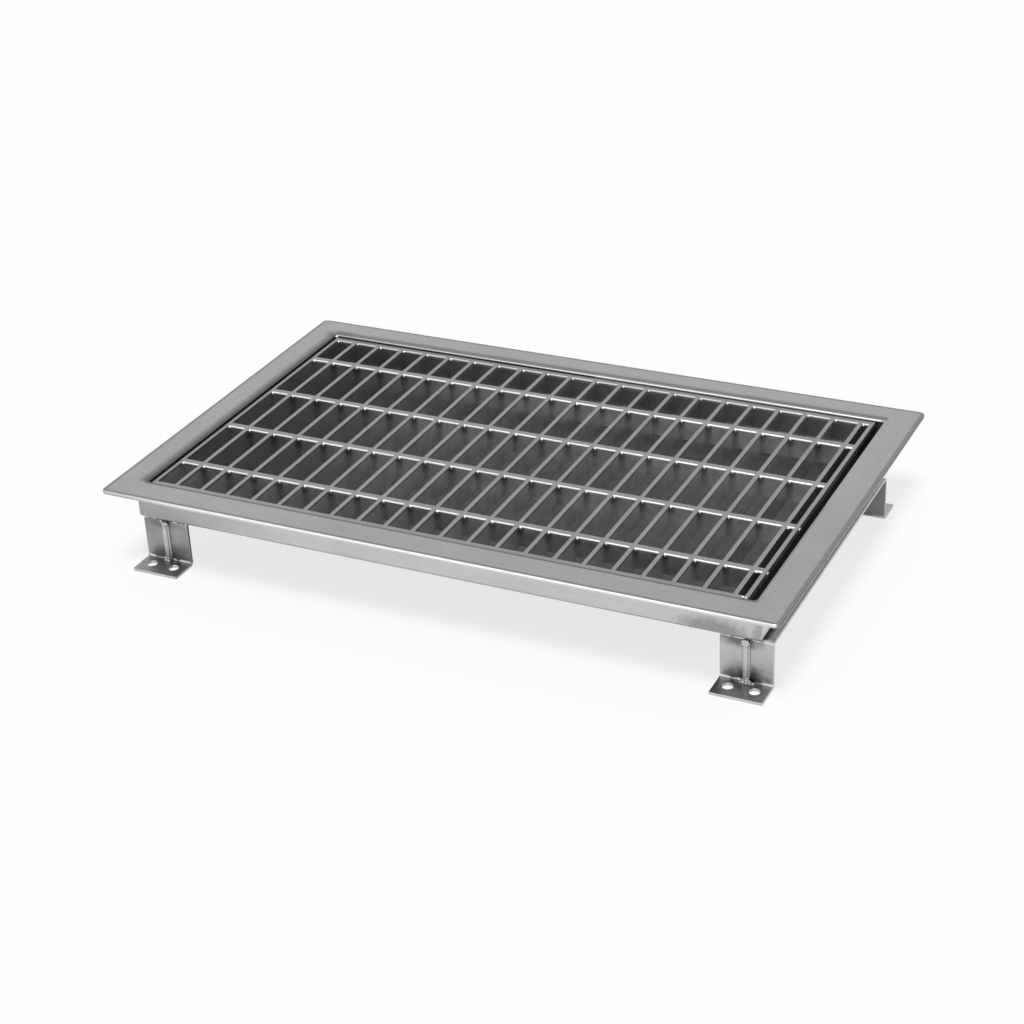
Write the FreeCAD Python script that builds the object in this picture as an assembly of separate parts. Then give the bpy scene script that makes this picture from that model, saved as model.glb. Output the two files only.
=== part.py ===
import FreeCAD, Part
import os
from math import cos, radians, sin
from FreeCAD import Vector

# A welded steel grating panel that rests in a raised stainless steel frame.
# X runs along the long side, Y from front to back, Z up from the floor.
# The origin is the middle of the footprint at floor level. All sizes are in millimetres.

# Frame as a whole
frame_length = 800.0
frame_width = 508.0
frame_height = 105.5

# Flange plate, the flat border that shows from above
flange_reach = 38.0
flange_thickness = 4.0
outer_corner_radius = 7.0
inner_corner_radius = 4.5
flange_edge_round = 1.2
flange_inner_round = 2.0

# Skirt rails, bent sheet under the flange
skirt_setback = 28.5
skirt_bottom_drop = 43.0
sheet_thickness = 3.0
inner_bend_radius = 2.0

# Seat angles, which carry the grating
seat_leg = 22.0
seat_thickness = 3.0
seat_root_radius = 2.0

# Grating panel
grating_recess = 3.0
bar_depth = 25.0
bearing_bar_thickness = 4.8
cross_bar_thickness = 8.0
band_thickness = 4.5
bearing_pitch = 33.3
cross_pitch = 100.0
side_clearance = 6.5
end_clearance = 1.0
panel_shift = -4.0
first_bar_offset = 27.75
cross_bar_shift = -2.0
cross_bar_edge_round = 2.0

# Pan floor, the flat sheet that closes the frame's bottom
pan_thickness = 2.0

# Straps with their legs and feet
strap_width = 58.0
strap_thickness = 3.0
strap_side_inset = 21.0
front_leg_setback = 44.5
back_leg_setback = 77.0
foot_length = 33.0
foot_corner_radius = 1.5
foot_hole_diameter = 12.0
foot_hole_spacing = 29.0
foot_hole_from_leg = 15.5

# Round ribs on the legs
rib_diameter = 6.0
rib_bedding = 0.4
rib_top_drop = 1.5

# Levels and places that follow from the sizes above
half_length = frame_length / 2
half_width = frame_width / 2
flange_bottom = frame_height - flange_thickness
skirt_bottom = frame_height - skirt_bottom_drop
outer_bend_radius = inner_bend_radius + sheet_thickness
grating_top = frame_height - grating_recess
seat_top = grating_top - bar_depth
seat_outer = skirt_setback + sheet_thickness
seat_inner = seat_outer + seat_leg
strap_top = seat_top - seat_leg
strap_bend_radius = inner_bend_radius + strap_thickness
opening_length = frame_length - 2 * flange_reach
opening_width = frame_width - 2 * flange_reach
panel_length = opening_length - 2 * side_clearance
panel_width = opening_width - 2 * end_clearance


def polygon_prism(corners, direction):
    """A flat polygon pushed along a direction into a solid."""
    wire = Part.makePolygon(corners + corners[:1])
    return Part.Face(wire).extrude(direction)


def round_edges_at(solid, places, along):
    """Round the edges that run along one axis (0 X, 1 Y, 2 Z) at the given places and radii."""
    across = [axis for axis in range(3) if axis != along]
    for first, second, radius in places:
        chosen = []
        for edge in solid.Edges:
            middle = edge.CenterOfMass
            box = edge.BoundBox
            spans = (box.XLength, box.YLength, box.ZLength)
            at_place = (abs(middle[across[0]] - first) < 0.01
                        and abs(middle[across[1]] - second) < 0.01)
            if at_place and spans[along] > 1.0 and max(spans[axis] for axis in across) < 0.01:
                chosen.append(edge)
        solid = solid.makeFillet(radius, chosen)
    return solid


def rounded_plate(length, width, thickness, corner_radius, bottom):
    """A flat plate centred on the origin, with its four upright corners rounded."""
    plate = Part.makeBox(length, width, thickness, Vector(-length / 2, -width / 2, bottom))
    corners = [(sx * length / 2, sy * width / 2, corner_radius) for sx in (-1, 1) for sy in (-1, 1)]
    return round_edges_at(plate, corners, 2)


def make_flange_plate():
    """One cut ring: rounded outside, a rectangular opening, and both top edges rounded over."""
    plate = rounded_plate(frame_length, frame_width, flange_thickness, outer_corner_radius, flange_bottom)
    top_face = max(plate.Faces, key=lambda face: face.CenterOfMass.z)
    plate = plate.makeFillet(flange_edge_round, top_face.Edges)
    opening = rounded_plate(opening_length, opening_width, flange_thickness,
                            inner_corner_radius, flange_bottom)
    ring = plate.cut(opening)
    rim = [edge for edge in ring.Edges
           if edge.BoundBox.ZMin > frame_height - 0.01
           and abs(edge.CenterOfMass.x) < opening_length / 2 + 0.01
           and abs(edge.CenterOfMass.y) < opening_width / 2 + 0.01]
    return ring.makeFillet(flange_inner_round, rim)


def mitred_rail(section, bends, side_length, half_depth, turn):
    """Push a section along one side of the frame and cut both ends at 45 degrees.

    The section is a list of (inset from the flange's outer edge, height) corners, and each
    bend is (inset, height, radius). The rail is made at the front and turned to its side.
    """
    def place(inset, height):
        return Vector(-side_length / 2, inset - half_depth, height)

    bar = polygon_prism([place(*corner) for corner in section], Vector(side_length, 0, 0))
    bar = round_edges_at(bar, [(inset - half_depth, height, radius) for inset, height, radius in bends], 0)
    reach = max(inset for inset, height in section)
    outer_end = side_length / 2
    inner_end = outer_end - reach
    wedge = [Vector(-outer_end, -half_depth, 0), Vector(outer_end, -half_depth, 0),
             Vector(inner_end, reach - half_depth, 0), Vector(-inner_end, reach - half_depth, 0)]
    rail = bar.common(polygon_prism(wedge, Vector(0, 0, frame_height)))
    rail.rotate(Vector(0, 0, 0), Vector(0, 0, 1), turn)
    return rail


def make_skirt_rail(side_length, half_depth, turn):
    """Bent sheet: an upright web under the flange and a lip turned in to the seat angle."""
    web_inside = skirt_setback + sheet_thickness
    lip_end = seat_inner - seat_thickness
    lip_top = skirt_bottom + sheet_thickness
    section = [(skirt_setback, flange_bottom), (web_inside, flange_bottom), (web_inside, lip_top),
               (lip_end, lip_top), (lip_end, skirt_bottom), (skirt_setback, skirt_bottom)]
    bends = [(skirt_setback, skirt_bottom, outer_bend_radius), (web_inside, lip_top, inner_bend_radius)]
    return mitred_rail(section, bends, side_length, half_depth, turn)


def make_seat_angle(side_length, half_depth, turn):
    """Rolled angle: the flat leg carries the grating, the upright leg stands on the straps."""
    flat_bottom = seat_top - seat_thickness
    upright_outside = seat_inner - seat_thickness
    section = [(seat_outer, seat_top), (seat_inner, seat_top), (seat_inner, strap_top),
               (upright_outside, strap_top), (upright_outside, flat_bottom), (seat_outer, flat_bottom)]
    bends = [(seat_inner, seat_top, seat_root_radius + seat_thickness),
             (upright_outside, flat_bottom, seat_root_radius)]
    return mitred_rail(section, bends, side_length, half_depth, turn)


def make_grating_panel():
    """Bearing bars, cross bars and two edge bands, all flush on top and fused where they cross."""
    left = panel_shift - panel_length / 2
    right = left + panel_length
    front = -panel_width / 2
    bottom = grating_top - bar_depth

    def lengthwise_bar(centre, thickness):
        return Part.makeBox(thickness, panel_width, bar_depth, Vector(centre - thickness / 2, front, bottom))

    def crosswise_bar(centre):
        """A flat bar on edge whose top front edge is rounded over in three flats."""
        near = centre - cross_bar_thickness / 2
        far = centre + cross_bar_thickness / 2
        outline = [(far, bottom), (far, grating_top)]
        for degrees in (90, 60, 30, 0):
            inward = cross_bar_edge_round * (1 - cos(radians(degrees)))
            drop = cross_bar_edge_round * (1 - sin(radians(degrees)))
            outline.append((near + inward, grating_top - drop))
        outline.append((near, bottom))
        return polygon_prism([Vector(left, y, z) for y, z in outline], Vector(panel_length, 0, 0))

    half_band = band_thickness / 2
    bars = [lengthwise_bar(left + half_band, band_thickness), lengthwise_bar(right - half_band, band_thickness)]
    first_bar = left + half_band + first_bar_offset
    bar_count = int((right - half_band - first_bar) // bearing_pitch) + 1
    for index in range(bar_count):
        bars.append(lengthwise_bar(first_bar + index * bearing_pitch, bearing_bar_thickness))
    end_bar = (panel_width - cross_bar_thickness) / 2
    bars += [crosswise_bar(-end_bar), crosswise_bar(end_bar)]
    cross_count = int(2 * end_bar // cross_pitch)
    for index in range(cross_count):
        bars.append(crosswise_bar(cross_bar_shift + (index - (cross_count - 1) / 2) * cross_pitch))
    return bars[0].multiFuse(bars[1:]).removeSplitter()


def make_pan_floor():
    """A flat sheet let in between the seat angles' upright legs, lying on the straps."""
    length = frame_length - 2 * seat_inner
    width = frame_width - 2 * seat_inner
    return Part.makeBox(length, width, pan_thickness, Vector(-length / 2, -width / 2, strap_top))


def make_strap(side):
    """A flat bar bent to a hat: top plate, two upright legs and two feet with two holes each."""
    front = front_leg_setback - half_width
    back = half_width - back_leg_setback
    under = strap_top - strap_thickness
    outline = [(front - foot_length, 0), (front - foot_length, strap_thickness), (front, strap_thickness),
               (front, strap_top), (back, strap_top), (back, strap_thickness),
               (back + foot_length, strap_thickness), (back + foot_length, 0),
               (back - strap_thickness, 0), (back - strap_thickness, under),
               (front + strap_thickness, under), (front + strap_thickness, 0)]
    centre = side * (half_length - strap_side_inset - strap_width / 2)
    start = centre - strap_width / 2
    bar = polygon_prism([Vector(start, y, z) for y, z in outline], Vector(strap_width, 0, 0))
    bends = [(front, strap_top, strap_bend_radius), (back, strap_top, strap_bend_radius),
             (front + strap_thickness, 0, strap_bend_radius), (back - strap_thickness, 0, strap_bend_radius),
             (front + strap_thickness, under, inner_bend_radius), (back - strap_thickness, under, inner_bend_radius),
             (front, strap_thickness, inner_bend_radius), (back, strap_thickness, inner_bend_radius)]
    bar = round_edges_at(bar, bends, 0)
    foot_ends = [front - foot_length, back + foot_length]
    corners = [(start + end * strap_width, y, foot_corner_radius) for end in (0, 1) for y in foot_ends]
    bar = round_edges_at(bar, corners, 2)
    for y in (front - foot_hole_from_leg, back + foot_hole_from_leg):
        for end in (-1, 1):
            hole_place = Vector(centre + end * foot_hole_spacing / 2, y, -strap_thickness)
            bar = bar.cut(Part.makeCylinder(foot_hole_diameter / 2, 3 * strap_thickness, hole_place))
    return bar


def make_leg_rib(strap, side, at_front):
    """A short round bar bedded on the outer face of a leg, from the foot up to the bend."""
    centre_out = rib_diameter / 2 - rib_bedding
    front = front_leg_setback - half_width
    back = half_width - back_leg_setback
    y = front - centre_out if at_front else back + centre_out
    x = side * (half_length - strap_side_inset - strap_width / 2)
    height = strap_top - rib_top_drop - strap_thickness
    rib = Part.makeCylinder(rib_diameter / 2, height, Vector(x, y, strap_thickness))
    return rib.cut(strap)


os.makedirs("parts", exist_ok=True)

make_flange_plate().exportStep("parts/flange_plate.step")

# Each side's name, its length, the distance from the middle to its outer edge, and its turn
sides = [("front", frame_length, half_width, 0), ("right", frame_width, half_length, 90),
         ("back", frame_length, half_width, 180), ("left", frame_width, half_length, -90)]
for name, side_length, half_depth, turn in sides:
    make_skirt_rail(side_length, half_depth, turn).exportStep(f"parts/skirt_rail_{name}.step")
    make_seat_angle(side_length, half_depth, turn).exportStep(f"parts/seat_angle_{name}.step")

make_grating_panel().exportStep("parts/grating_panel.step")
make_pan_floor().exportStep("parts/pan_floor.step")

for name, side in (("left", -1), ("right", 1)):
    strap = make_strap(side)
    strap.exportStep(f"parts/strap_{name}.step")
    for end_name, at_front in (("front", True), ("back", False)):
        make_leg_rib(strap, side, at_front).exportStep(f"parts/leg_rib_{end_name}_{name}.step")
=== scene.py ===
# %% [markdown]
# # A steel grating panel in its raised frame
# The real object is a welded mesh of flat bars that lies in a flanged stainless steel frame.
# The frame stands on two straps that are bent to the shape of a hat and end in drilled feet.
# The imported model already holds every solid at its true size, so this script starts from it and
# adds what a solid model leaves out: the finish of the metal and the welds that hold it together.

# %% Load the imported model
import math
import random
import bpy
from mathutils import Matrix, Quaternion, Vector


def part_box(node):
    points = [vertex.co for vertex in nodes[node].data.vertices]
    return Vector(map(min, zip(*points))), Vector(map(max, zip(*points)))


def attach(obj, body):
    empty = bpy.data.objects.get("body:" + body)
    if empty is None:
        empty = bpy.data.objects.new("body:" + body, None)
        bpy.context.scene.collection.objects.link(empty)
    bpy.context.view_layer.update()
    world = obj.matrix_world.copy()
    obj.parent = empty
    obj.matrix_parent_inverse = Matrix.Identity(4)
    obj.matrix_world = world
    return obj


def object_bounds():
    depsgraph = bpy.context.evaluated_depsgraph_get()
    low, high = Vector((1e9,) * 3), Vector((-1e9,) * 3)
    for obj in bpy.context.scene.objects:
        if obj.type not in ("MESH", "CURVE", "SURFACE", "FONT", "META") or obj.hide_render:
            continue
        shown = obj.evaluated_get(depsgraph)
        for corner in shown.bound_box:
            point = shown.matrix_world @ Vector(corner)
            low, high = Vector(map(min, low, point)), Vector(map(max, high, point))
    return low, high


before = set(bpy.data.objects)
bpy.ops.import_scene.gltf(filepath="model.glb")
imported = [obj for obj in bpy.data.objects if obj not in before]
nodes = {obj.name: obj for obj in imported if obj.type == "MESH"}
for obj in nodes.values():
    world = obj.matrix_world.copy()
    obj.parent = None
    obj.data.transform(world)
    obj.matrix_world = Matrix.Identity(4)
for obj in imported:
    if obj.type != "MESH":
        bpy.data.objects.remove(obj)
cad_box = [list(corner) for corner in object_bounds()]
half_length, half_width, top = cad_box[1]
print("nodes in the frame:", len(nodes))
print("box of the whole object in metres:", cad_box)

# %% [markdown]
# ## The camera
# A photograph is easiest to follow when the camera stands where the photographer stood. The place,
# the aim and the lens below were worked out from the corners of the border and the legs, whose
# sizes are known. The azimuth turns the camera round the object from the front, the elevation
# lifts it, and a small roll tilts the picture.

# %% Place the camera
camera_azimuth = math.radians(26.730)
camera_elevation = math.radians(28.330)
camera_roll = math.radians(-2.801)
camera_distance = 2.49382
sideways, downwards = 0.00898, -0.06972
towards_camera = Vector((math.sin(camera_azimuth) * math.cos(camera_elevation),
                         -math.cos(camera_azimuth) * math.cos(camera_elevation),
                         math.sin(camera_elevation)))
turn = towards_camera.to_track_quat("Z", "Y") @ Quaternion((0, 0, 1), camera_roll)
top_centre = Vector((0, 0, top))
camera_data = bpy.data.cameras.new("photo_camera")
camera_data.lens = 77.03
camera_data.sensor_width = 36.0
camera_data.clip_start = 0.1
camera_data.clip_end = 60
camera = bpy.data.objects.new("photo_camera", camera_data)
bpy.context.scene.collection.objects.link(camera)
camera.rotation_mode = "QUATERNION"
camera.rotation_quaternion = turn
camera.location = top_centre - turn @ Vector((sideways, -downwards, -camera_distance))
bpy.context.scene.camera = camera
print("camera stands at", [round(c, 3) for c in camera.location])

# %% [markdown]
# ## The studio
# Brushed steel mostly shows its surroundings, so the light matters as much as the material. One
# soft lamp hangs high and a little to the front, as a softbox does, and an even white world fills
# the rest. Its place follows from the shadow, whose edge lies 40 mm behind the border's front
# edge and 11 mm inside its right edge. The lamp is a sun with a wide angle: it is as soft as a
# softbox and lights the floor evenly, so the floor doesn't fade to grey far away.

# %% Light the object
lamp_direction = (0.10, -0.38, 1.00)
lamp_data = bpy.data.lights.new("overhead_softbox", "SUN")
lamp_data.energy = 2.1
lamp_data.angle = math.radians(17)
lamp = bpy.data.objects.new("overhead_softbox", lamp_data)
lamp.rotation_mode = "QUATERNION"
lamp.rotation_quaternion = Vector(lamp_direction).to_track_quat("Z", "Y")
bpy.context.scene.collection.objects.link(lamp)
bpy.context.scene.view_settings.view_transform = "Standard"
print("softbox strength", lamp_data.energy)

# %% [markdown]
# ## Helpers for node trees
# Shaders are sums of many small steps. A few helpers keep each step on one line: sums and
# products, noise, ranges that are stretched or eased, and vectors taken apart.

# %% Node helpers
def link(tree, source, target):
    """Join two sockets of a node tree, or set the second one to a number or a vector."""
    if isinstance(source, (int, float, tuple)):
        target.default_value = source
    else:
        tree.links.new(source, target)


def operate(tree, kind, operation, *values):
    """A Math or Vector Math node with its first inputs filled."""
    node = tree.nodes.new("ShaderNode" + kind)
    node.operation = operation
    for value, socket in zip(values, node.inputs):
        link(tree, value, socket)
    return node


def add_math(tree, operation, *values, clamp=False):
    """The answer of a Math node whose inputs are sockets or numbers."""
    node = operate(tree, "Math", operation, *values)
    node.use_clamp = clamp
    return node.outputs[0]


def chain(tree, operation, *values):
    """One Math operation carried through several values, such as the largest of three."""
    result = values[0]
    for value in values[1:]:
        result = add_math(tree, operation, result, value)
    return result


def multiply(tree, *values):
    """The product of several masks or numbers."""
    return chain(tree, "MULTIPLY", *values)


def distance_from(tree, value, middle):
    """How far a value is from a middle, on either side of it."""
    return add_math(tree, "ABSOLUTE", add_math(tree, "SUBTRACT", value, middle))


def vector_math(tree, operation, *vectors):
    """The answer of a Vector Math node, a number for lengths and dot products."""
    answer = "Value" if operation in ("LENGTH", "DOT_PRODUCT") else "Vector"
    return operate(tree, "VectorMath", operation, *vectors).outputs[answer]


def add_noise(tree, vector, scale, detail, roughness):
    """A Noise Texture whose scale is a number or a socket."""
    node = tree.nodes.new("ShaderNodeTexNoise")
    link(tree, vector, node.inputs["Vector"])
    link(tree, scale, node.inputs["Scale"])
    link(tree, detail, node.inputs["Detail"])
    link(tree, roughness, node.inputs["Roughness"])
    return node.outputs["Fac"]


def map_range(tree, value, low, high, to_low=0.0, to_high=1.0, smooth=False):
    """Stretch a value from one range to another, and clamp it."""
    node = tree.nodes.new("ShaderNodeMapRange")
    if smooth:
        node.interpolation_type = "SMOOTHSTEP"
    link(tree, value, node.inputs["Value"])
    for socket_name, number in (("From Min", low), ("From Max", high),
                                ("To Min", to_low), ("To Max", to_high)):
        link(tree, number, node.inputs[socket_name])
    return node.outputs["Result"]


def fall(tree, value, low, high):
    """Fall from 1 to 0 over a range."""
    return map_range(tree, value, low, high, 1.0, 0.0)


def ease(tree, value, low, high, to_low=0.0, to_high=1.0):
    """Stretch a value with soft ends."""
    return map_range(tree, value, low, high, to_low, to_high, smooth=True)


def patches(tree, vector, scale, lowest, detail=3.0, roughness=0.6, spread=0.2):
    """Soft patches between a lowest value and 1. A smaller spread gives them harder rims."""
    noise = add_noise(tree, vector, scale, detail, roughness)
    return map_range(tree, noise, 0.5 - spread, 0.5 + spread, lowest, 1.0)


def split(tree, vector):
    """The X, Y and Z sockets of a vector, by name."""
    apart = tree.nodes.new("ShaderNodeSeparateXYZ")
    link(tree, vector, apart.inputs[0])
    return apart.outputs


def face_direction(tree):
    """The X, Y and Z of the way a face looks."""
    return split(tree, tree.nodes.new("ShaderNodeNewGeometry").outputs["Normal"])


print("node helpers ready")

# %% [markdown]
# The world is white to the camera and in reflections, and gentler as a light, so that the floor
# keeps its shadow. Light Path tells the shader which kind of ray is asking.

# %% Colour the world
def seen_directly(tree):
    """1 for rays from the camera, from glossy reflections and through glass, otherwise 0."""
    path = tree.nodes.new("ShaderNodeLightPath").outputs
    return chain(tree, "MAXIMUM", path["Is Camera Ray"], path["Is Glossy Ray"],
                 path["Is Transmission Ray"])


world_fill = 0.42
world = bpy.data.worlds.new("white_studio")
bpy.context.scene.world = world
world.use_nodes = True
world_tree = world.node_tree
background = world_tree.nodes["Background"]
background.inputs["Color"].default_value = (1, 1, 1, 1)
world_strength = map_range(world_tree, seen_directly(world_tree), 0.0, 1.0, world_fill, 1.0)
link(world_tree, world_strength, background.inputs["Strength"])
print("world fill", world_fill)

# %% [markdown]
# The floor is white paper. A little of its brightness is its own in the camera's eyes, which
# lifts it to a clean white and keeps the soft shadow under the frame.

# %% Lay the floor
floor_glow = 0.76
bpy.ops.object.select_all(action="DESELECT")
bpy.ops.mesh.primitive_plane_add(size=60, location=(0, 0, 0))
floor = bpy.context.object
floor.name = "paper_floor"
paper = bpy.data.materials.new("white_paper")
paper.use_nodes = True
paper_tree = paper.node_tree
matt = paper_tree.nodes["Principled BSDF"]
matt.inputs["Base Color"].default_value = (0.93, 0.93, 0.93, 1)
matt.inputs["Roughness"].default_value = 0.9
matt.inputs["Specular IOR Level"].default_value = 0.0
glow = paper_tree.nodes.new("ShaderNodeEmission")
blend_floor = paper_tree.nodes.new("ShaderNodeMixShader")
glow_share = multiply(paper_tree, seen_directly(paper_tree), floor_glow)
link(paper_tree, glow_share, blend_floor.inputs["Fac"])
link(paper_tree, matt.outputs["BSDF"], blend_floor.inputs[1])
link(paper_tree, glow.outputs["Emission"], blend_floor.inputs[2])
link(paper_tree, blend_floor.outputs["Shader"],
     paper_tree.nodes["Material Output"].inputs["Surface"])
floor.data.materials.append(paper)
print("floor laid, glow share", floor_glow)

# %% [markdown]
# ## Effects that the metals share
# Each effect is a small node group with named sockets, so the same brushing, clouds, worn edges
# or heat tint can serve sheet, bar and weld, each with its own values. A group only gives masks,
# values and normals. The shader itself stays in each material.

# %% A helper for groups
def new_group(name, inputs, outputs):
    """An empty shader node group, what it is given, and where its answers go.

    Each input is (name, type, default) and each output (name, type).
    """
    tree = bpy.data.node_groups.new(name, "ShaderNodeTree")
    for socket_name, kind, default in inputs:
        socket = tree.interface.new_socket(name=socket_name, in_out="INPUT",
                                           socket_type="NodeSocket" + kind)
        if default is not None:
            socket.default_value = default
    for socket_name, kind in outputs:
        tree.interface.new_socket(name=socket_name, in_out="OUTPUT",
                                  socket_type="NodeSocket" + kind)
    return tree, tree.nodes.new("NodeGroupInput").outputs, tree.nodes.new("NodeGroupOutput").inputs


print("group helper ready")

# %% [markdown]
# Brushing is many fine scratches along one direction. A noise that is squeezed hard across the
# grain and left long along it gives them. Two sizes together look less regular than one.

# %% Brushed grain
coarse_to_fine = 0.31
fine_share, coarse_share = 0.6, 0.4
grain_group, given, answers = new_group(
    "brushed_grain",
    [("Vector", "Vector", None), ("Along", "Vector", (1, 1, 1)), ("Fine Scale", "Float", 1.0)],
    [("Streaks", "Float"), ("Height", "Float")])
squeezed = vector_math(grain_group, "MULTIPLY", given["Vector"], given["Along"])
fine_streaks = add_noise(grain_group, squeezed, given["Fine Scale"], 4.0, 0.6)
coarse_scale = multiply(grain_group, given["Fine Scale"], coarse_to_fine)
coarse_streaks = add_noise(grain_group, squeezed, coarse_scale, 2.0, 0.5)
both_streaks = add_math(grain_group, "ADD", multiply(grain_group, fine_streaks, fine_share),
                        multiply(grain_group, coarse_streaks, coarse_share))
link(grain_group, map_range(grain_group, both_streaks, 0.3, 0.7), answers["Streaks"])
link(grain_group, both_streaks, answers["Height"])
print("group", grain_group.name)

# %% [markdown]
# Handled steel is never one even tone. Slow clouds of a few centimetres come from polishing and
# fingers, and a finer mottle from the mill.

# %% Clouds in the tone
cloud_group, given, answers = new_group(
    "cloudy_tone",
    [("Vector", "Vector", None), ("Cloud Scale", "Float", 14.0), ("Mottle Scale", "Float", 240.0)],
    [("Clouds", "Float"), ("Mottle", "Float")])
clouds = patches(cloud_group, given["Vector"], given["Cloud Scale"], 0.0, roughness=0.55)
mottle = patches(cloud_group, given["Vector"], given["Mottle Scale"], 0.0)
link(cloud_group, clouds, answers["Clouds"])
link(cloud_group, mottle, answers["Mottle"])
print("group", cloud_group.name)

# %% [markdown]
# No sheared or sawn edge is perfectly sharp. The Bevel node bends the normal over the last
# fraction of a millimetre, and where it differs from the true normal there is an edge, which
# wears brighter than the flat.

# %% Worn edges
edge_group, given, answers = new_group(
    "worn_edges", [("Radius", "Float", 0.0006), ("Reach", "Float", 0.25)],
    [("Mask", "Float"), ("Normal", "Vector")])
rounded = edge_group.nodes.new("ShaderNodeBevel")
rounded.samples = 6
link(edge_group, given["Radius"], rounded.inputs["Radius"])
true_normal = edge_group.nodes.new("ShaderNodeNewGeometry").outputs["Normal"]
agreement = vector_math(edge_group, "DOT_PRODUCT", rounded.outputs["Normal"], true_normal)
difference = add_math(edge_group, "SUBTRACT", 1.0, agreement)
edge_mask = add_math(edge_group, "DIVIDE", difference, given["Reach"], clamp=True)
link(edge_group, edge_mask, answers["Mask"])
link(edge_group, rounded.outputs["Normal"], answers["Normal"])
print("group", edge_group.name)

# %% [markdown]
# Welding stains stainless steel with a dark cloud round the joint. The group measures how far a
# point is from the middle of the weld, with its own reach in each direction, and breaks the rim
# of the cloud with noise.

# %% Heat tint round a weld
rim_noise_scale, rim_noise_share = 160.0, 0.9
full_until, gone_from = 0.35, 1.15
heat_group, given, answers = new_group(
    "weld_heat",
    [("Vector", "Vector", None), ("Centre", "Vector", (0, 0, 0)),
     ("Reach", "Vector", (0.01, 0.01, 0.01))],
    [("Mask", "Float")])
offset = vector_math(heat_group, "SUBTRACT", given["Vector"], given["Centre"])
in_reach = vector_math(heat_group, "DIVIDE", offset, given["Reach"])
distance = vector_math(heat_group, "LENGTH", in_reach)
ragged = add_noise(heat_group, given["Vector"], rim_noise_scale, 4.0, 0.6)
raggedness = multiply(heat_group, add_math(heat_group, "SUBTRACT", ragged, 0.5), rim_noise_share)
ragged_distance = add_math(heat_group, "ADD", distance, raggedness)
link(heat_group, ease(heat_group, ragged_distance, full_until, gone_from, 1.0, 0.0),
     answers["Mask"])
print("group", heat_group.name)

# %% [markdown]
# ## The steels
# One recipe serves all: a base tone that clouds and grain vary, brighter edges, and dark heat
# tint. What differs is the direction of the grain, the tone and the roughness, so the recipe is a
# function and each part gets its own values. Tones are shares of white, and lengths are metres.

# %% The steel recipe
darkest_cloud, lightest_cloud = 0.91, 1.07
streak_tone, streak_amount = 1.25, 0.42
mottle_tone, mottle_amount = 0.76, 0.32
edge_amount = 0.6
streak_roughness, cloud_roughness = 0.05, 0.04
scratch_depth = 0.0002


def place_group(tree, group, values):
    """Add a node group and set its inputs by name to numbers, vectors or sockets."""
    node = tree.nodes.new("ShaderNodeGroup")
    node.node_tree = group
    for socket_name, value in values.items():
        link(tree, value, node.inputs[socket_name])
    return node.outputs


def mix_tone(tree, mask, first, second, amount=1.0):
    """Mix two greys by a mask. Each is a tone, or the socket of an earlier mix."""
    node = tree.nodes.new("ShaderNodeMix")
    node.data_type = "RGBA"
    factor = add_math(tree, "MULTIPLY", mask, amount, clamp=True)
    link(tree, factor, node.inputs["Factor"])
    for socket_name, value in (("A", first), ("B", second)):
        colour = (value, value, value, 1) if isinstance(value, float) else value
        link(tree, colour, node.inputs[socket_name])
    return node.outputs["Result"]


def steel(name, tone, grain_along, roughness, grain_bump, edge_radius, fine_scale=1.0,
          edge_tone=0.8, heat_spots=(), heat_tone=0.08, grain_vector=None, masks=()):
    """A brushed steel. Heat spots are (centre, reach, amount) in metres on the object.

    masks are functions that add a mask to the tree and return (mask socket, tone, amount), laid
    over each other in their order. grain_vector is one that returns the vector the grain follows.
    """
    material = bpy.data.materials.new(name)
    material.use_nodes = True
    tree = material.node_tree
    shader = tree.nodes["Principled BSDF"]
    shader.inputs["Metallic"].default_value = 1.0
    place = tree.nodes.new("ShaderNodeTexCoord").outputs["Object"]
    along = grain_vector(tree, place) if grain_vector else place
    grain = place_group(tree, grain_group, {"Vector": along, "Along": grain_along,
                                            "Fine Scale": fine_scale})
    clouds = place_group(tree, cloud_group, {"Vector": place})
    edges = place_group(tree, edge_group, {"Radius": edge_radius})
    colour = mix_tone(tree, clouds["Clouds"], tone * darkest_cloud, tone * lightest_cloud)
    colour = mix_tone(tree, grain["Streaks"], colour, tone * streak_tone, streak_amount)
    colour = mix_tone(tree, clouds["Mottle"], colour, tone * mottle_tone, mottle_amount)
    for centre, reach, amount in heat_spots:
        heat = place_group(tree, heat_group, {"Vector": place, "Centre": centre, "Reach": reach})
        colour = mix_tone(tree, heat["Mask"], colour, heat_tone, amount)
    for make_mask in masks:
        mask, mask_tone, amount = make_mask(tree, place)
        colour = mix_tone(tree, mask, colour, mask_tone, amount)
    colour = mix_tone(tree, edges["Mask"], colour, edge_tone, edge_amount)
    link(tree, colour, shader.inputs["Base Color"])
    from_streaks = map_range(tree, grain["Streaks"], 0.0, 1.0, -streak_roughness, streak_roughness)
    from_clouds = map_range(tree, clouds["Clouds"], 0.0, 1.0, roughness - cloud_roughness,
                            roughness + cloud_roughness)
    link(tree, add_math(tree, "ADD", from_streaks, from_clouds), shader.inputs["Roughness"])
    bump = tree.nodes.new("ShaderNodeBump")
    link(tree, grain_bump, bump.inputs["Strength"])
    link(tree, scratch_depth, bump.inputs["Distance"])
    link(tree, grain["Height"], bump.inputs["Height"])
    link(tree, edges["Normal"], bump.inputs["Normal"])
    link(tree, bump.outputs["Normal"], shader.inputs["Normal"])
    return material


def dress(node_name, material):
    """Give a CAD node its material in every slot."""
    mesh = nodes[node_name].data
    if not mesh.materials:
        mesh.materials.append(material)
    for index in range(len(mesh.materials)):
        mesh.materials[index] = material


print("steel recipe ready")

# %% [markdown]
# ### The border
# The border is brushed along each of its four sides, so the grain turns at the 45 degree line in
# the corners. Comparing how far a point is out along X and along Y tells which side it is on.

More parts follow.
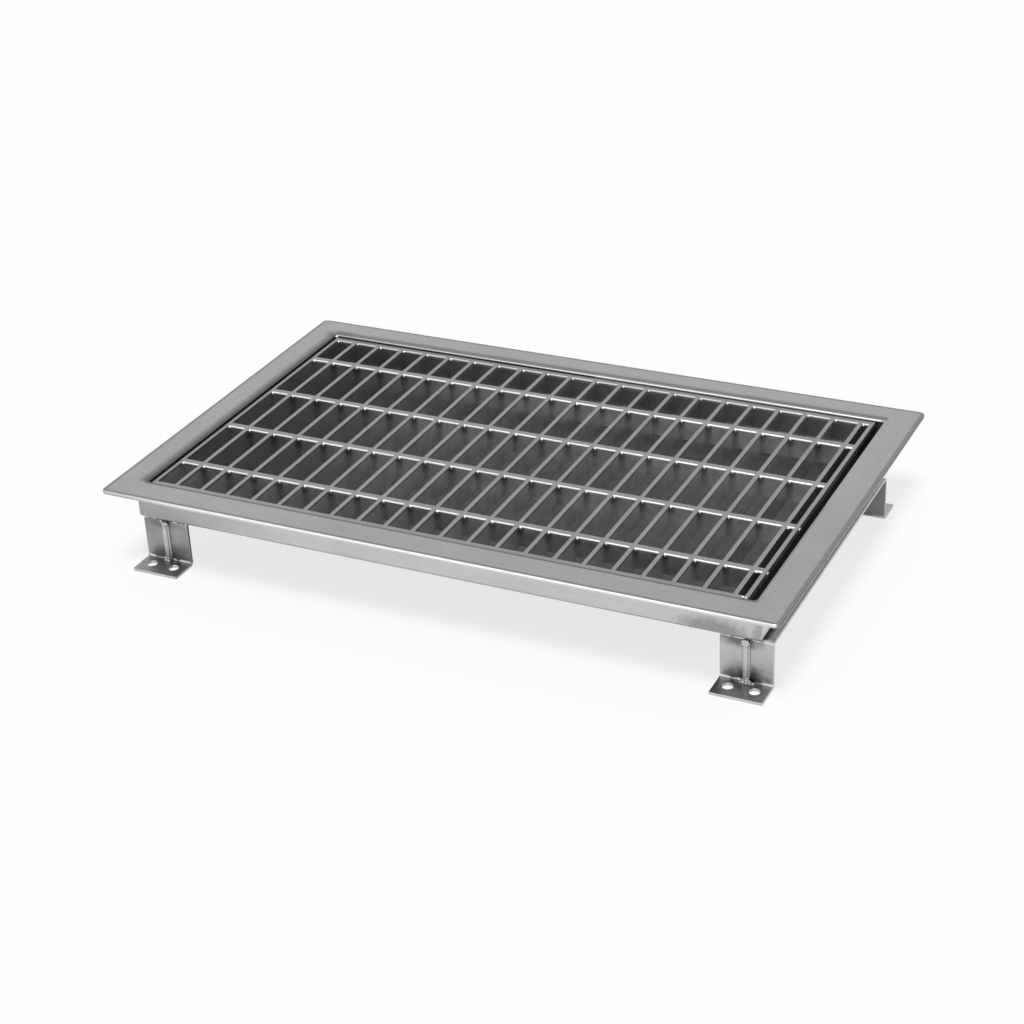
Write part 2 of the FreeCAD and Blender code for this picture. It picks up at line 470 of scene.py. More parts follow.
# %% Grain of the border
border_width = 0.038
opening_half_x = half_length - border_width
opening_half_y = half_width - border_width


def grain_round_the_border(tree, place):
    """Swap X and Y on the two short sides, so the grain always runs along the side."""
    at = split(tree, place)
    out_x = add_math(tree, "ABSOLUTE", at["X"])
    out_y = add_math(tree, "ABSOLUTE", at["Y"])
    lead = chain(tree, "SUBTRACT", out_x, half_length - half_width, out_y)
    swapped = tree.nodes.new("ShaderNodeCombineXYZ")
    for source, target in (("Y", "X"), ("X", "Y"), ("Z", "Z")):
        link(tree, at[source], swapped.inputs[target])
    choice = tree.nodes.new("ShaderNodeMix")
    choice.data_type = "VECTOR"
    link(tree, add_math(tree, "GREATER_THAN", lead, 0.0), choice.inputs["Factor"])
    link(tree, place, choice.inputs[4])
    link(tree, swapped.outputs[0], choice.inputs[5])
    return choice.outputs[1]


print("opening in metres:", round(2 * opening_half_x, 3), "x", round(2 * opening_half_y, 3))

# %% [markdown]
# Grinding rolled the rims over a little. Painted shade darkens them towards the opening and the
# outline, and two painted lines of shade run along the upright right side. Painted highlights run
# along the front edge and the back rim, and a painted sheen lights the upright front face.

# %% Steel of the border
def shade_at_rims(tree, place):
    """Painted shade: dark lines along the opening, wider on the left, and a weaker one along the
    outline.
    """
    at = split(tree, place)
    x, y = at["X"], at["Y"]
    out_x = add_math(tree, "ABSOLUTE", x)
    out_y = add_math(tree, "ABSOLUTE", y)
    beside = fall(tree, out_x, opening_half_x, opening_half_x + 0.004)
    along_left = fall(tree, out_y, opening_half_y, opening_half_y + 0.004)
    back_rise = ease(tree, y, opening_half_y + 0.0015, opening_half_y + 0.0045)
    back_fall = ease(tree, y, opening_half_y + 0.0055, opening_half_y + 0.0140, 0.8, 0.0)
    back_rim = multiply(tree, back_rise, back_fall, beside)
    left_rise = ease(tree, x, -opening_half_x - 0.0140, -opening_half_x - 0.0010)
    left_half = add_math(tree, "LESS_THAN", x, 0.0)
    left_rim = multiply(tree, left_rise, left_half, along_left)
    front_rise = ease(tree, y, -opening_half_y - 0.0052, -opening_half_y - 0.0034, 0.0, 0.85)
    front_half = add_math(tree, "LESS_THAN", y, 0.0)
    front_rim = multiply(tree, front_rise, front_half, beside)
    inner = chain(tree, "MAXIMUM", back_rim, left_rim, front_rim)
    from_outline = add_math(tree, "MINIMUM", add_math(tree, "SUBTRACT", half_length, out_x),
                            add_math(tree, "SUBTRACT", half_width, out_y))
    outer_rise = ease(tree, from_outline, 0.0010, 0.0020)
    outer_fall = ease(tree, from_outline, 0.0028, 0.0058, 1.0, 0.0)
    outer = multiply(tree, outer_rise, outer_fall, 0.62)
    return add_math(tree, "MAXIMUM", inner, outer), 0.07, 0.86


def shaded_right_edge(tree, place):
    """Painted shade: two dark lines along the plate's upright right face, which darkens wholly
    towards the back.
    """
    at = split(tree, place)
    at_right = map_range(tree, at["X"], half_length - 0.0013, half_length - 0.0006)
    from_middle = distance_from(tree, at["Z"], top - 0.0026)
    lines = ease(tree, from_middle, 0.0006, 0.0011, 0.55, 1.0)
    lines = add_math(tree, "MAXIMUM", lines, map_range(tree, at["Y"], 0.02, 0.14))
    return multiply(tree, at_right, lines), 0.10, 0.85


def painted_highlight_back_rim(tree, place):
    """A painted highlight: a thin bright line on the rounded rim along the back of the opening."""
    at = split(tree, place)
    at_rim = fall(tree, at["Y"], opening_half_y + 0.0021, opening_half_y + 0.0024)
    behind = map_range(tree, at["Y"], opening_half_y - 0.0010, opening_half_y - 0.0005)
    out_x = add_math(tree, "ABSOLUTE", at["X"])
    beside = fall(tree, out_x, opening_half_x - 0.004, opening_half_x)
    line = ease(tree, distance_from(tree, at["Z"], top - 0.0009), 0.0003, 0.0008, 1.0, 0.0)
    rightwards = map_range(tree, at["X"], -0.36, 0.0, 0.5, 1.0)
    return multiply(tree, at_rim, behind, beside, line, rightwards), 0.80, 0.9


def painted_sheen_front_face(tree, place):
    """A painted sheen lights the plate's upright front face, less at the left end; the face has the
    skirt's satin.
    """
    at = split(tree, place)
    at_front = fall(tree, at["Y"], -half_width + 0.0001, -half_width + 0.0006)
    along_edge = ease(tree, at["X"], -0.385, -0.300, 0.25, 1.0)
    return multiply(tree, at_front, along_edge), 0.62, 1.0


def painted_highlight_front_edge(tree, place):
    """A painted highlight along the rounded top edge of the front, broken in places and weaker at
    the ends.
    """
    at = split(tree, place)
    at_front = fall(tree, at["Y"], -half_width + 0.0006, -half_width + 0.0011)
    near_top = map_range(tree, at["Z"], top - 0.0024, top - 0.0018)
    varied = patches(tree, place, 60.0, 0.70)
    left_end = ease(tree, at["X"], -0.39, -0.24, 0.35, 1.0)
    right_end = map_range(tree, at["X"], 0.32, 0.39, 1.0, 0.6)
    return multiply(tree, at_front, near_top, varied, left_end, right_end), 0.98, 1.0


border_heat = [((-0.352, -0.210, top), (0.030, 0.016, 0.02), 0.35),
               ((0.352, -0.212, top), (0.016, 0.014, 0.02), 0.22),
               ((-0.358, 0.218, top), (0.026, 0.014, 0.02), 0.55)]
flange_steel = steel("brushed_border_steel", tone=0.345, grain_along=(14, 420, 420),
                     roughness=0.34, grain_bump=0.10, edge_radius=0.0008,
                     heat_spots=border_heat, heat_tone=0.16, grain_vector=grain_round_the_border,
                     masks=(shade_at_rims, shaded_right_edge,
                            painted_highlight_back_rim, painted_sheen_front_face, painted_highlight_front_edge))
dress("flange_plate", flange_steel)
print("border dressed, heat clouds:", len(border_heat))

# %% [markdown]
# ### Skirts and seats
# The skirts are bent sheet with a satin finish, brushed along their length. The long ones run
# along X and the short ones along Y; the short ones get a lighter tone as painted light. The seats
# inside are left as they came from the mill, so they are duller, and painted shade makes them
# darker.

# %% Steel of the skirts and seats
along_x = (12, 380, 380)
along_y = (380, 12, 380)
skirt_low, skirt_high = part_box("skirt_rail_front")
skirt_bottom = skirt_low[2]


def painted_shade_towards_bottom(tree, place):
    """Painted shade darkens the satin towards the bend and the left end, so it is brightest under
    the border.
    """
    at = split(tree, place)
    to_bottom = ease(tree, at["Z"], skirt_bottom + 0.0055, skirt_bottom + 0.0015)
    to_left = ease(tree, at["X"], -0.16, -0.34, 0.0, 0.95)
    fade = add_math(tree, "MAXIMUM", to_bottom, to_left)
    return multiply(tree, fade, patches(tree, place, 22.0, 0.6)), 0.34, 1.0


skirt_heat = [((0.320, -0.2255, skirt_bottom + 0.004), (0.046, 0.02, 0.018), 0.62),
              ((0.3715, -0.2255, skirt_bottom + 0.008), (0.012, 0.02, 0.022), 0.45),
              ((-0.340, -0.2255, skirt_bottom + 0.002), (0.050, 0.02, 0.016), 0.40)]
skirt_long = steel("satin_skirt_steel_long", tone=0.56, grain_along=along_x, roughness=0.36,
                   grain_bump=0.20, edge_radius=0.0008, heat_spots=skirt_heat, heat_tone=0.16,
                   masks=(painted_shade_towards_bottom,))
# The short skirts' lighter tone is painted light that lifts their shade under the border.
skirt_short_lightened = steel("satin_skirt_steel_short_lightened", tone=0.72, grain_along=along_y, roughness=0.36,
                    grain_bump=0.10, edge_radius=0.0008)
# The seats' rough mill finish is their own; their very dark tone is painted shade, deep under the
# border.
seat_finish_and_shade = {"tone": 0.10, "roughness": 0.50, "grain_bump": 0.12, "edge_radius": 0.0006,
               "fine_scale": 0.8, "edge_tone": 0.14}
seat_long = steel("shaded_mill_seat_steel_long", grain_along=along_x, **seat_finish_and_shade)
seat_short = steel("shaded_mill_seat_steel_short", grain_along=along_y, **seat_finish_and_shade)
for side_name in ("front", "back", "left", "right"):
    is_long = side_name in ("front", "back")
    dress("skirt_rail_" + side_name, skirt_long if is_long else skirt_short_lightened)
    dress("seat_angle_" + side_name, seat_long if is_long else seat_short)
print("skirts and seats dressed")

# %% [markdown]
# ### The grating
# Its bars were ground after welding, which left the tops light, and the rounded front edges of the
# cross bars carry a painted highlight. Inside each cell the tone is set by painted light and shade,
# with a dark stain under every weld that is heat tint and painted corner shade. The bars repeat, so
# the stain is worked out from where a point lies within one pitch.

# %% Measures of the grating
grating_low, grating_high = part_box("grating_panel")
grating_top = grating_high[2]
grating_right = grating_high[0]
bearing_pitch, bearing_count, bearing_bar_half = 0.0333, 21, 0.0024
cross_pitch, cross_count, cross_bar_half = 0.100, 4, 0.004
first_bearing_x = grating_low[0] + 0.030
first_cross_y = -0.002 - 1.5 * cross_pitch
last_bearing_x = first_bearing_x + (bearing_count - 1) * bearing_pitch
pitches_added = 40


def beyond_bar(tree, value, first, pitch):
    """How far a point lies beyond the last bar before it. Whole pitches keep the sum above zero."""
    above_zero = add_math(tree, "ADD", value, pitches_added * pitch - first)
    return add_math(tree, "MODULO", above_zero, pitch)


def below_tops(tree, at, start, end):
    """0 at the ground tops of the bars, rising to 1 between two depths below them."""
    return ease(tree, at["Z"], grating_top - start, grating_top - end)


print("first bars at x =", round(first_bearing_x, 4), "and y =", round(first_cross_y, 4))

# %% [markdown]
# Below the tops the cells get painted light: a lighter tone than the tops, more of it to the right
# and in the first row. Painted shade darkens the last row, the narrow gap at the right end and the
# outer side of the right edge band.

# %% Tones inside the cells
def painted_light_inside_cells(tree, place):
    """Painted light: everything below the ground tops gets a lighter tone."""
    return below_tops(tree, split(tree, place), 0.0008, 0.0024), 0.50, 0.95


def painted_light_to_the_right(tree, place):
    """Painted light: below the tops, the bars are a little lighter towards the right end of the
    panel.
    """
    at = split(tree, place)
    rightwards = ease(tree, at["X"], -0.33, -0.10)
    uneven = patches(tree, place, 60.0, 0.35, detail=4.0, roughness=0.65, spread=0.18)
    return multiply(tree, below_tops(tree, at, 0.0016, 0.0032), rightwards, uneven), 0.88, 0.95


def painted_light_front_row(tree, place):
    """Painted light: the first row of cells is lighter below the tops than the rest."""
    at = split(tree, place)
    row_end = first_cross_y - cross_bar_half - 0.0010
    in_front = fall(tree, at["Y"], row_end, first_cross_y)
    return multiply(tree, in_front, below_tops(tree, at, 0.0024, 0.0040)), 0.80, 0.9


def painted_shade_back_row(tree, place):
    """Painted shade: the last row of cells, behind the last cross bar, is darker below the tops."""
    at = split(tree, place)
    at_back = map_range(tree, at["Y"], 0.1490, 0.1500)
    return multiply(tree, at_back, below_tops(tree, at, 0.0024, 0.0060)), 0.36, 0.80


def dark_last_gap(tree, place):
    """Little light reaches the narrow gap between the last bearing bar and the right edge band."""
    at = split(tree, place)
    last_bar_side = last_bearing_x + bearing_bar_half
    beyond_last = map_range(tree, at["X"], last_bar_side - 0.0006, last_bar_side - 0.0002)
    before_band = fall(tree, at["X"], grating_right - 0.0042, grating_right - 0.0038)
    below = below_tops(tree, at, 0.0012, 0.0034)
    return multiply(tree, beyond_last, before_band, below), 0.34, 0.85


def painted_shade_band_side(tree, place):
    """Painted shade on the outer side of the right edge band, darker with depth in the gap beside
    the border.
    """
    at = split(tree, place)
    at_side = map_range(tree, at["X"], grating_right - 0.0004, grating_right - 0.0002)
    deeper = map_range(tree, at["Z"], grating_top - 0.0020, grating_top - 0.0085)
    return multiply(tree, at_side, deeper), 0.05, 0.95


print("cell tones ready")

# %% [markdown]
# Two more masks belong to the joints: the stain in the corner under each tack, which is heat tint
# and painted corner shade, and a painted highlight on the front edge of the cross bars, which stops
# short of the next bearing bar.

# %% Steel of the grating
def joint_stain_and_shade(tree, place):
    """A dark streak down each bar-to-cross-bar corner: heat tint under the tack and painted corner
    shade.
    """
    at = split(tree, place)
    along_x_pitch = beyond_bar(tree, at["X"], first_bearing_x, bearing_pitch)
    along_y_pitch = beyond_bar(tree, at["Y"], first_cross_y, cross_pitch)
    from_corner_x = distance_from(tree, along_x_pitch, bearing_bar_half + 0.0015)
    from_corner_y = distance_from(tree, along_y_pitch, cross_pitch - cross_bar_half - 0.001)
    near_x = ease(tree, from_corner_x, 0.0, 0.0070, 1.0, 0.0)
    near_y = ease(tree, from_corner_y, 0.0, 0.0090, 1.0, 0.0)
    below = below_tops(tree, at, 0.0012, 0.0030)
    fading = map_range(tree, at["Z"], grating_top - 0.014, grating_top - 0.004, 0.35, 1.0)
    return multiply(tree, near_x, near_y, below, fading), 0.05, 0.80


def painted_highlight_cross_edge(tree, place):
    """Painted highlight on each cross bar's rounded front edge, from a weld to short of the next
    bar.
    """
    facing = face_direction(tree)
    upward = map_range(tree, facing["Z"], 0.12, 0.26)
    not_flat = fall(tree, facing["Z"], 0.90, 0.97)
    frontward = fall(tree, facing["Y"], -0.24, -0.16)
    at = split(tree, place)
    wavering = add_math(tree, "ADD", beyond_bar(tree, at["X"], first_bearing_x, bearing_pitch),
                        multiply(tree, add_noise(tree, place, 90.0, 2.0, 0.5), 0.005))
    before_next = ease(tree, wavering, 0.0303, 0.0328, 1.0, 0.0)
    last_bar = map_range(tree, at["Y"], 0.190, 0.200, 1.0, 0.45)
    return multiply(tree, upward, not_flat, frontward, before_next, last_bar), 0.88, 1.0


grating_steel = steel("ground_grating_steel", tone=0.28, grain_along=(60, 60, 300),
                      roughness=0.34, grain_bump=0.10, edge_radius=0.0005, edge_tone=0.5,
                      masks=(painted_light_inside_cells, painted_light_to_the_right, painted_light_front_row,
                             painted_shade_back_row, joint_stain_and_shade, dark_last_gap, painted_shade_band_side,
                             painted_highlight_cross_edge))
dress("grating_panel", grating_steel)
print("grating dressed")

# %% [markdown]
# ### The pan floor
# The sheet under the grating sees little light, so its dark tone is painted shade. It is dull, with
# slow dark clouds.

# %% Steel of the pan floor
# The pan's dark tone is painted shade.
pan_steel = steel("shaded_pan_steel", tone=0.14, grain_along=(40, 120, 300), roughness=0.55,
                  grain_bump=0.08, edge_radius=0.0005, edge_tone=0.4)
dress("pan_floor", pan_steel)
print("pan floor dressed")

# %% [markdown]
# ### Straps and ribs
# Each strap is bent from flat bar and brushed along its length. Welding the rib to the leg left
# dark clouds at both ends of the rib. Each leg is listed with its name, side, end and the
# place of its outer face.

# %% Measures of the legs
strap_low, strap_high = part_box("strap_right")
strap_x = (strap_low[0] + strap_high[0]) / 2
strap_top = strap_high[2]
rib_low, rib_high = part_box("leg_rib_front_right")
rib_foot, rib_top = rib_low[2], rib_high[2]
leg_faces = {-1: rib_high[1], 1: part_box("leg_rib_back_right")[0][1]}
sides = (("left", -1), ("right", 1))
ends = (("front", -1), ("back", 1))
legs = [(f"{end_name}_{side_name}", side, outward, leg_faces[outward])
        for side_name, side in sides for end_name, outward in ends]
heat_on_legs = []
for leg_name, side, outward, leg_y in legs:
    at_foot = (side * strap_x, leg_y, 0.006)
    at_top = (side * strap_x - 0.006, leg_y, strap_top - 0.004)
    heat_on_legs += [(at_foot, (0.027, 0.02, 0.017), 0.90), (at_top, (0.028, 0.02, 0.011), 0.75)]
heat_on_ribs = [(spot[0], (0.02, 0.02, 0.008), 0.35) for spot in heat_on_legs]
print("legs:", [leg[0] for leg in legs], "heat clouds:", len(heat_on_legs))

# %% [markdown]
# A painted highlight runs along each bend. The feet get painted shade on top and are bright where
# they were sheared, the left strap is darker than the right one, and painted shade darkens the
# inner faces of the legs and the right side of the left strap.

# %% Steel of the straps and ribs
def away_from_middle(tree, at, facing):
    """How far a face looks to its own end of the frame: 1 outward, -1 inward."""
    behind = map_range(tree, at["Y"], 0.0, 0.01, -1.0, 1.0)
    return multiply(tree, facing["Y"], behind)


def left_strap_only(tree, at):
    """1 on the left strap and 0 on the right one."""
    return fall(tree, at["X"], -0.01, 0.01)


def painted_highlight_on_bends(tree, place):
    """A broken painted highlight along each bend of the bar, whole only at its right end."""
    at = split(tree, place)
    at_foot = fall(tree, distance_from(tree, at["Z"], 0.0048), 0.0007, 0.0015)
    at_top = fall(tree, distance_from(tree, at["Z"], strap_top - 0.0015), 0.0009, 0.0017)
    broken = map_range(tree, add_noise(tree, place, 110.0, 3.0, 0.6), 0.46, 0.56)
    right_end = map_range(tree, at["X"], 0.3660, 0.3690)
    facing = face_direction(tree)
    not_sideways = fall(tree, add_math(tree, "ABSOLUTE", facing["X"]), 0.3, 0.6)
    outward = map_range(tree, away_from_middle(tree, at, facing), 0.0, 0.2)
    mask = multiply(tree, add_math(tree, "MAXIMUM", at_foot, at_top), not_sideways, outward,
                    add_math(tree, "MAXIMUM", broken, right_end))
    return mask, 0.95, 0.95


def painted_shade_foot_top(tree, place):
    """Painted shade darkens the upper faces of the feet, in uneven patches."""
    upward = map_range(tree, face_direction(tree)["Z"], 0.6, 0.9)
    low = fall(tree, split(tree, place)["Z"], 0.0036, 0.0042)
    uneven = patches(tree, place, 70.0, 0.65, detail=4.0, spread=0.15)
    return multiply(tree, upward, low, uneven), 0.33, 1.0


def darker_left_strap(tree, place):
    """The left strap is darker than the right one, in uneven patches."""
    uneven = patches(tree, place, 55.0, 0.6, detail=4.0, spread=0.15)
    return multiply(tree, left_strap_only(tree, split(tree, place)), uneven), 0.22, 0.75


def light_foot_edge(tree, place):
    """The sheared end faces of the feet are bright."""
    endward = map_range(tree, add_math(tree, "ABSOLUTE", face_direction(tree)["Y"]), 0.6, 0.9)
    low = fall(tree, split(tree, place)["Z"], 0.0030, 0.0034)
    uneven = patches(tree, place, 120.0, 0.4)
    return multiply(tree, endward, low, uneven), 0.60, 1.0


def painted_shade_inner_faces(tree, place):
    """Painted shade on the inner faces of the legs, which look in under the frame."""
    at = split(tree, place)
    outwardness = away_from_middle(tree, at, face_direction(tree))
    inward = fall(tree, outwardness, -0.9, -0.6)
    above_foot = map_range(tree, at["Z"], 0.0040, 0.0060)
    return multiply(tree, inward, above_foot), 0.15, 0.9


def painted_shade_left_strap_side(tree, place):
    """Painted shade, nearly black, on the right side of the left strap, which faces in under the
    frame.
    """
    at = split(tree, place)
    rightward = map_range(tree, face_direction(tree)["X"], 0.3, 0.6)
    above_foot = map_range(tree, at["Z"], 0.0030, 0.0050)
    return multiply(tree, rightward, left_strap_only(tree, at), above_foot), 0.03, 0.95


strap_steel = steel("bent_strap_steel", tone=0.50, grain_along=(380, 380, 14), roughness=0.36,
                    grain_bump=0.14, edge_radius=0.0011, heat_spots=heat_on_legs, heat_tone=0.06,
                    masks=(painted_shade_foot_top, darker_left_strap, painted_shade_inner_faces, painted_shade_left_strap_side,
                           painted_highlight_on_bends, light_foot_edge))
rib_steel = steel("drawn_rib_steel", tone=0.56, grain_along=(300, 300, 16), roughness=0.34,
                  grain_bump=0.12, edge_radius=0.0006, heat_spots=heat_on_ribs, heat_tone=0.14)
for side_name, side in sides:
    dress("strap_" + side_name, strap_steel)
for leg in legs:
    dress("leg_rib_" + leg[0], rib_steel)
print("straps and ribs dressed")

# %% [markdown]
# ## The welds
# A weld bead is a row of ripples, one for each time the welder dipped the rod. One bead is drawn
# upright from a small disc that is pushed out and widened or narrowed ring by ring, and is then
# turned and moved to its joint in edit mode, so that the object itself stays at the origin.

# %% Helpers for welds
random.seed(11)
weld_steel = steel("bright_weld_steel", tone=0.62, grain_along=(120, 120, 120), roughness=0.26,
                   grain_bump=0.25, edge_radius=0.0004, edge_tone=0.9)
ground_weld_steel = steel("ground_weld_steel", tone=0.50, grain_along=(160, 160, 160),
                          roughness=0.34, grain_bump=0.15, edge_radius=0.0004, edge_tone=0.6,
                          heat_spots=heat_on_ribs, heat_tone=0.14)


def set_down(piece, name, material):
    """Name a finished piece, dress it and let it ride on the object."""
    piece.name = piece.data.name = name
    piece.data.materials.clear()
    piece.data.materials.append(material)
    for polygon in piece.data.polygons:
        polygon.use_smooth = True
    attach(piece, "root")


def move_mesh(offset, quarter_turns=()):
    """Turn the whole mesh in edit mode round the origin by (axis, degrees) steps, then move it."""
    bpy.ops.object.mode_set(mode="EDIT")
    bpy.ops.mesh.select_all(action="SELECT")
    for axis, degrees in quarter_turns:
        bpy.ops.transform.rotate(value=math.radians(degrees), orient_axis=axis,
                                 center_override=(0, 0, 0))
    bpy.ops.transform.translate(value=offset)
    bpy.ops.object.mode_set(mode="OBJECT")


def draw_bead(length, radius, ripples, sides=10):
    """An upright bead on the origin, left selected and active. Its ripples vary a little."""
    start_width, end_width = 0.5, 0.45
    crest_share, trough_share = 0.6, 0.4
    bpy.ops.object.select_all(action="DESELECT")
    bpy.ops.mesh.primitive_circle_add(vertices=sides, radius=start_width * radius, fill_type="NGON")
    bpy.ops.object.mode_set(mode="EDIT")
    bpy.ops.mesh.select_all(action="SELECT")
    step = length / ripples
    width = start_width
    height = 0.0
    for index in range(ripples):
        crest = random.uniform(0.92, 1.08)
        trough = end_width if index == ripples - 1 else random.uniform(0.76, 0.84)
        for rise, new_width in ((crest_share * step, crest), (trough_share * step, trough)):
            height += rise
            bpy.ops.mesh.extrude_region_move(TRANSFORM_OT_translate={"value": (0, 0, rise)})
            grow = new_width / width
            bpy.ops.transform.resize(value=(grow, grow, 1), center_override=(0, 0, height))
            width = new_width
    bpy.ops.mesh.select_all(action="SELECT")
    bpy.ops.mesh.normals_make_consistent(inside=False)
    bpy.ops.object.mode_set(mode="OBJECT")
    return bpy.context.object


def draw_drop(size, segments=8, rings=5):
    """A small rounded drop of weld metal on the origin, left selected and active."""
    bpy.ops.object.select_all(action="DESELECT")
    bpy.ops.mesh.primitive_uv_sphere_add(segments=segments, ring_count=rings, radius=1.0)
    bpy.ops.object.mode_set(mode="EDIT")
    bpy.ops.mesh.select_all(action="SELECT")
    bpy.ops.transform.resize(value=size, center_override=(0, 0, 0))
    bpy.ops.object.mode_set(mode="OBJECT")
    return bpy.context.object


def select_pieces(pieces):
    """Select these pieces alone and make the first one active."""
    bpy.ops.object.select_all(action="DESELECT")
    for piece in pieces:
        piece.select_set(True)
    bpy.context.view_layer.objects.active = pieces[0]


def copy_and_move(original, offset, quarter_turns=()):
    """A copy of a piece with its own mesh, turned and moved in edit mode."""
    select_pieces([original])
    bpy.ops.object.duplicate(linked=False)
    move_mesh(offset, quarter_turns)
    return bpy.context.object


def join_pieces(pieces):
    """Join several drops into one piece."""
    select_pieces(pieces)
    bpy.ops.object.join()
    return bpy.context.object


def discard(piece):
    """Delete a pattern piece once its copies are made."""
    select_pieces([piece])
    bpy.ops.object.delete()


print("weld helpers ready")

# %% [markdown]
# Each rib is welded to its leg along both sides, with an irregular weld at its foot and a round
# tack on its upper end.

# %% Weld the ribs along their sides
bead_apart, bead_outward, bead_lift, bead_shorter = 0.0024, 0.0010, 0.001, 0.004
side_bead = draw_bead(length=rib_top - rib_foot - bead_shorter, radius=0.0022, ripples=14)
for leg_name, side, outward, leg_y in legs:
    for hand_name, hand in sides:
        bead = copy_and_move(side_bead, (side * strap_x + hand * bead_apart,
                                         leg_y + outward * bead_outward, rib_foot + bead_lift))
        set_down(bead, f"rib_bead_{leg_name}_{hand_name}", ground_weld_steel)
discard(side_bead)
print("side beads on", len(legs), "ribs")

# %% [markdown]
# A foot weld is a heap of drops, each placed across the rib and upwards. The heap is deepest in
# the middle and slopes off to its sides and top. Only the right ribs have the full heap.

# %% Weld the ribs at their feet
heap_depth, slope_across, slope_up = 0.0060, 0.30, 0.35
full_heap = ((-0.0050, 0.0), (-0.0020, 0.0002), (0.0014, 0.0), (0.0048, 0.0), (0.0082, -0.0003),
             (-0.0026, 0.0026), (0.0010, 0.0028), (0.0042, 0.0021), (-0.0006, 0.0052),
             (0.0022, 0.0048))
small_heap = full_heap[1:3] + full_heap[5:7]
foot_drop = draw_drop((0.0025, 0.0022, 0.0022), 10, 6)
for leg_name, side, outward, leg_y in legs:
    drops = []
    for across, up in (full_heap if side > 0 else small_heap):
        reach = heap_depth - slope_across * abs(across) - slope_up * up
        lift = random.uniform(0.0004, 0.0010)
        drops.append(copy_and_move(foot_drop, (side * strap_x + across, leg_y + outward * reach,
                                               rib_foot + up + lift)))
    set_down(join_pieces(drops), f"rib_foot_weld_{leg_name}", ground_weld_steel)
discard(foot_drop)
print("drops in a full foot weld:", len(full_heap))

# %% [markdown]
# The tack on the front right rib was left as a small ring. The others are plain groups of drops.

# %% Tack the ribs at their tops
tack_z = rib_top - 0.0022
tack_reach, ring_reach, side_reach = 0.0048, 0.0052, 0.0040
side_drops = ((-0.0026, 0.0006), (0.0024, -0.0004), (-0.0046, 0.0014))
top_drop = draw_drop((0.0020, 0.0019, 0.0020), 10, 6)
for leg_name, side, outward, leg_y in legs:
    parts = [copy_and_move(top_drop, (side * strap_x, leg_y + outward * tack_reach, tack_z))]
    if leg_name == "front_right":
        bpy.ops.object.select_all(action="DESELECT")
        bpy.ops.mesh.primitive_torus_add(major_radius=0.0029, minor_radius=0.0012,
                                         major_segments=18, minor_segments=8)
        parts.append(bpy.context.object)
        move_mesh((side * strap_x, leg_y + outward * ring_reach, tack_z), (("X", 90),))
    else:
        for across, up in side_drops:
            reach = side_reach - 0.5 * abs(across)
            parts.append(copy_and_move(top_drop, (side * strap_x + across,
                                                  leg_y + outward * reach, tack_z + up)))
    set_down(join_pieces(parts), f"rib_top_tack_{leg_name}", weld_steel)
discard(top_drop)
print("top tacks on", len(legs), "ribs")

# %% [markdown]
# Short beads stitch the seats to the straps, and the four corners of the skirt are welded upright
# and ground nearly flush. One more drop sits in the back left corner of the opening.

# %% Weld the seats to the straps and close the skirt's corners
seat_thickness = 0.003
stitch_offset = 0.0006
stitch_z = strap_top + stitch_offset
front_stitch_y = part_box("seat_angle_front")[1][1] - seat_thickness - stitch_offset
front_stitch_starts = {"left": -0.3488, "right": 0.3218}
side_stitch_starts = (-0.150, -0.022, 0.106)
stitch_bead = draw_bead(length=0.027, radius=0.0019, ripples=12)
for side_name, side in sides:
    stitch = copy_and_move(stitch_bead, (front_stitch_starts[side_name], front_stitch_y, stitch_z),
                           (("Y", -90),))
    set_down(stitch, f"seat_stitch_front_{side_name}", weld_steel)
    seat_low, seat_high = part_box("seat_angle_" + side_name)
    seat_inner = seat_low[0] if side > 0 else seat_high[0]
    seat_out_x = side * (abs(seat_inner) + seat_thickness)
    for number, start in enumerate(side_stitch_starts, 1):
        stitch = copy_and_move(stitch_bead, (seat_out_x + side * stitch_offset, start, stitch_z),
                               (("X", 90),))
        set_down(stitch, f"seat_stitch_{side_name}_{number}", weld_steel)
discard(stitch_bead)

corner_bead_inset, corner_bead_lift = 0.0023, 0.0055
corner_bead = draw_bead(length=skirt_high[2] - skirt_low[2] - 0.006, radius=0.0028, ripples=12)
for leg_name, side, outward, leg_y in legs:
    corner = copy_and_move(corner_bead, (side * (skirt_high[0] - corner_bead_inset),
                                         outward * (-skirt_low[1] - corner_bead_inset),
                                         skirt_bottom + corner_bead_lift))
    set_down(corner, f"skirt_corner_weld_{leg_name}", skirt_long)
discard(corner_bead)

corner_dot = draw_drop((0.0032, 0.0032, 0.0022), 14, 8)
move_mesh((-0.3616, 0.2158, top - 0.0025))
set_down(corner_dot, "border_corner_dot", weld_steel)
print("seat stitches and corners welded")

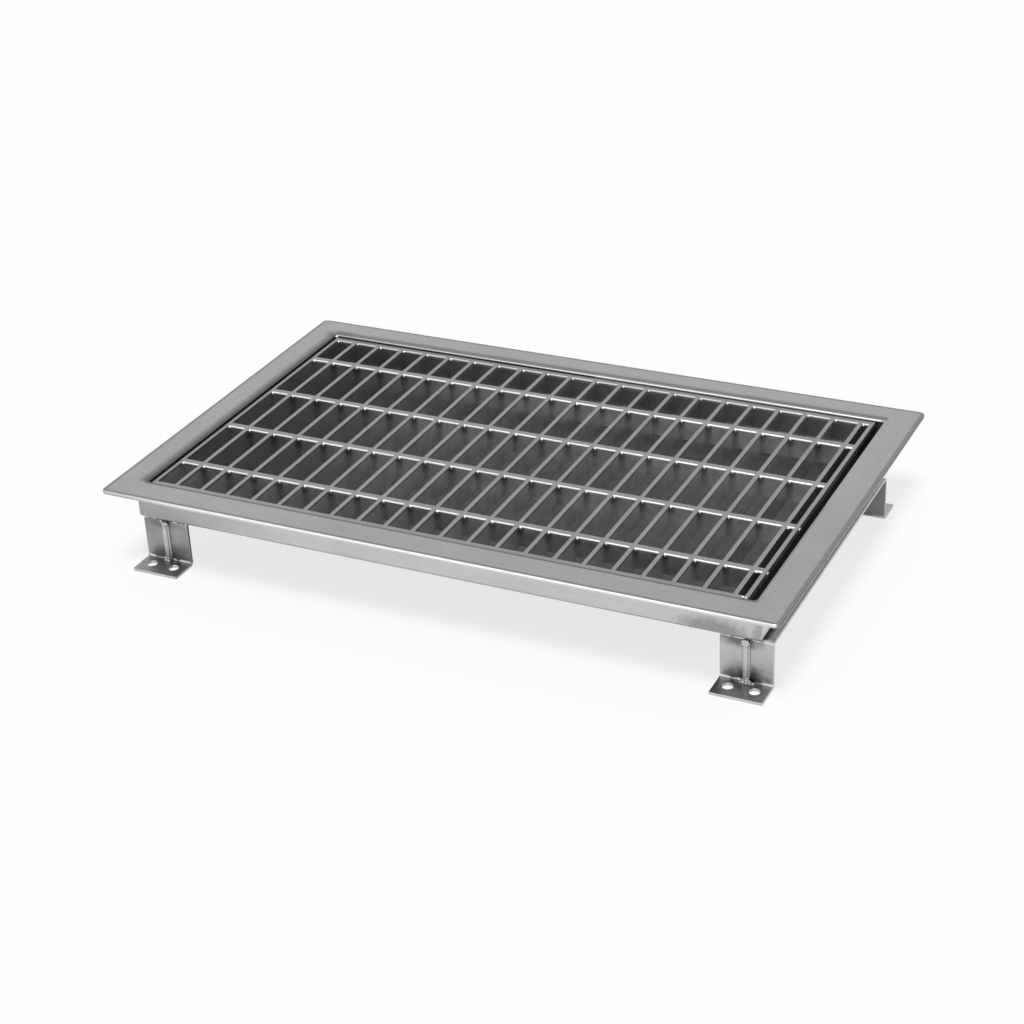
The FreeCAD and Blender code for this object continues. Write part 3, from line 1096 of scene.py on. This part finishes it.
# %% [markdown]
# In the grating a small tack holds each bearing bar to each cross bar. Only a few dozen faces go
# into a tack, because there are more than two hundred of them. The tacks of one cross bar are
# joined into one piece.

# %% Tack the grating
right_of_bar, left_of_bar, off_cross_bar = 0.0011, 0.0009, 0.0001
front_depth, back_depth, band_depth, dot_depth = 0.0024, 0.0028, 0.0026, 0.0015
front_dots_x, front_dots_y = (0.0028, 0.0060), -0.2098
left_band_inward = 0.0056
tack_drop = draw_drop((0.0021, 0.0017, 0.0023))


def tack_at(x, y, depth):
    """One tack, at a depth below the ground tops."""
    return copy_and_move(tack_drop, (x, y, grating_top - depth))


row_places = [("front", grating_low[1] + cross_bar_half)]
row_places += [(str(number + 1), first_cross_y + number * cross_pitch)
               for number in range(cross_count)]
row_places += [("back", grating_high[1] - cross_bar_half)]
tack_total = 0
for row_name, row_y in row_places:
    tacks = []
    front_side = row_y - cross_bar_half - off_cross_bar
    back_side = row_y + cross_bar_half + off_cross_bar
    for number in range(bearing_count):
        bar_x = first_bearing_x + number * bearing_pitch
        deeper = random.uniform(0.0, 0.0006)
        if row_name != "front":
            tacks.append(tack_at(bar_x + bearing_bar_half + right_of_bar, front_side,
                                 front_depth + deeper))
        if row_name != "back":
            tacks.append(tack_at(bar_x - bearing_bar_half - left_of_bar, back_side,
                                 back_depth + deeper))
    if row_name == "front":
        tacks += [tack_at(grating_right - inward, front_dots_y, dot_depth)
                  for inward in front_dots_x]
    else:
        tacks.append(tack_at(grating_low[0] + left_band_inward, front_side, band_depth))
    tack_total += len(tacks)
    set_down(join_pieces(tacks), "grating_tacks_" + row_name, weld_steel)
discard(tack_drop)
print("tacks in the grating:", tack_total)

# %% [markdown]
# The first two cross bars also end in a small weld on the outer side of the right edge band.

# %% Weld the ends of two cross bars
nub = draw_drop((0.0014, 0.0030, 0.0030), 10, 6)
nubs = [copy_and_move(nub, (grating_right + 0.0002, row_y, grating_top - 0.0040))
        for row_name, row_y in row_places[1:3]]
discard(nub)
set_down(join_pieces(nubs), "cross_bar_end_welds", weld_steel)
print("cross bar end welds:", len(nubs))
